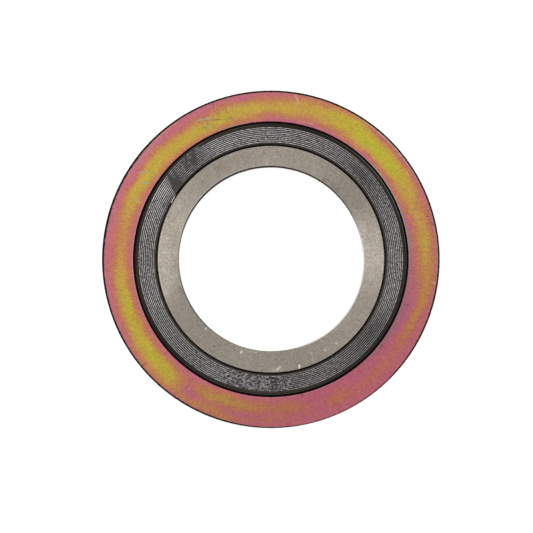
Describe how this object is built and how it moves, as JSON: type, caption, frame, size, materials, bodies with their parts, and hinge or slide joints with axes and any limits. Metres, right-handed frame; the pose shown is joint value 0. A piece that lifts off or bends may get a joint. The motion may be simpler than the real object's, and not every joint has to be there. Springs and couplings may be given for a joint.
{
  "type": "spiral wound gasket",
  "caption": "Spiral wound flange gasket: chevron metal strip and graphite filler between a flat centering ring and a flat inner ring.",
  "frame": {"origin": "centre of the lower sealing face of the winding", "axes": "+Z along the gasket's axis, out of its upper sealing face; X and Y in the plane of the rings"},
  "size_m": [0.1494, 0.1494, 0.0045],
  "materials": {
    "plated_steel": "satin, iridescent yellow plating",
    "plain_steel": "dull satin",
    "strip_steel": "satin, dusted with graphite",
    "graphite": "matte"
  },
  "bodies": {
    "root": {"centering_ring": "plated_steel", "inner_ring": "plain_steel", "winding_strip": "strip_steel", "graphite_filler": "graphite"}
  },
  "joints": []
}
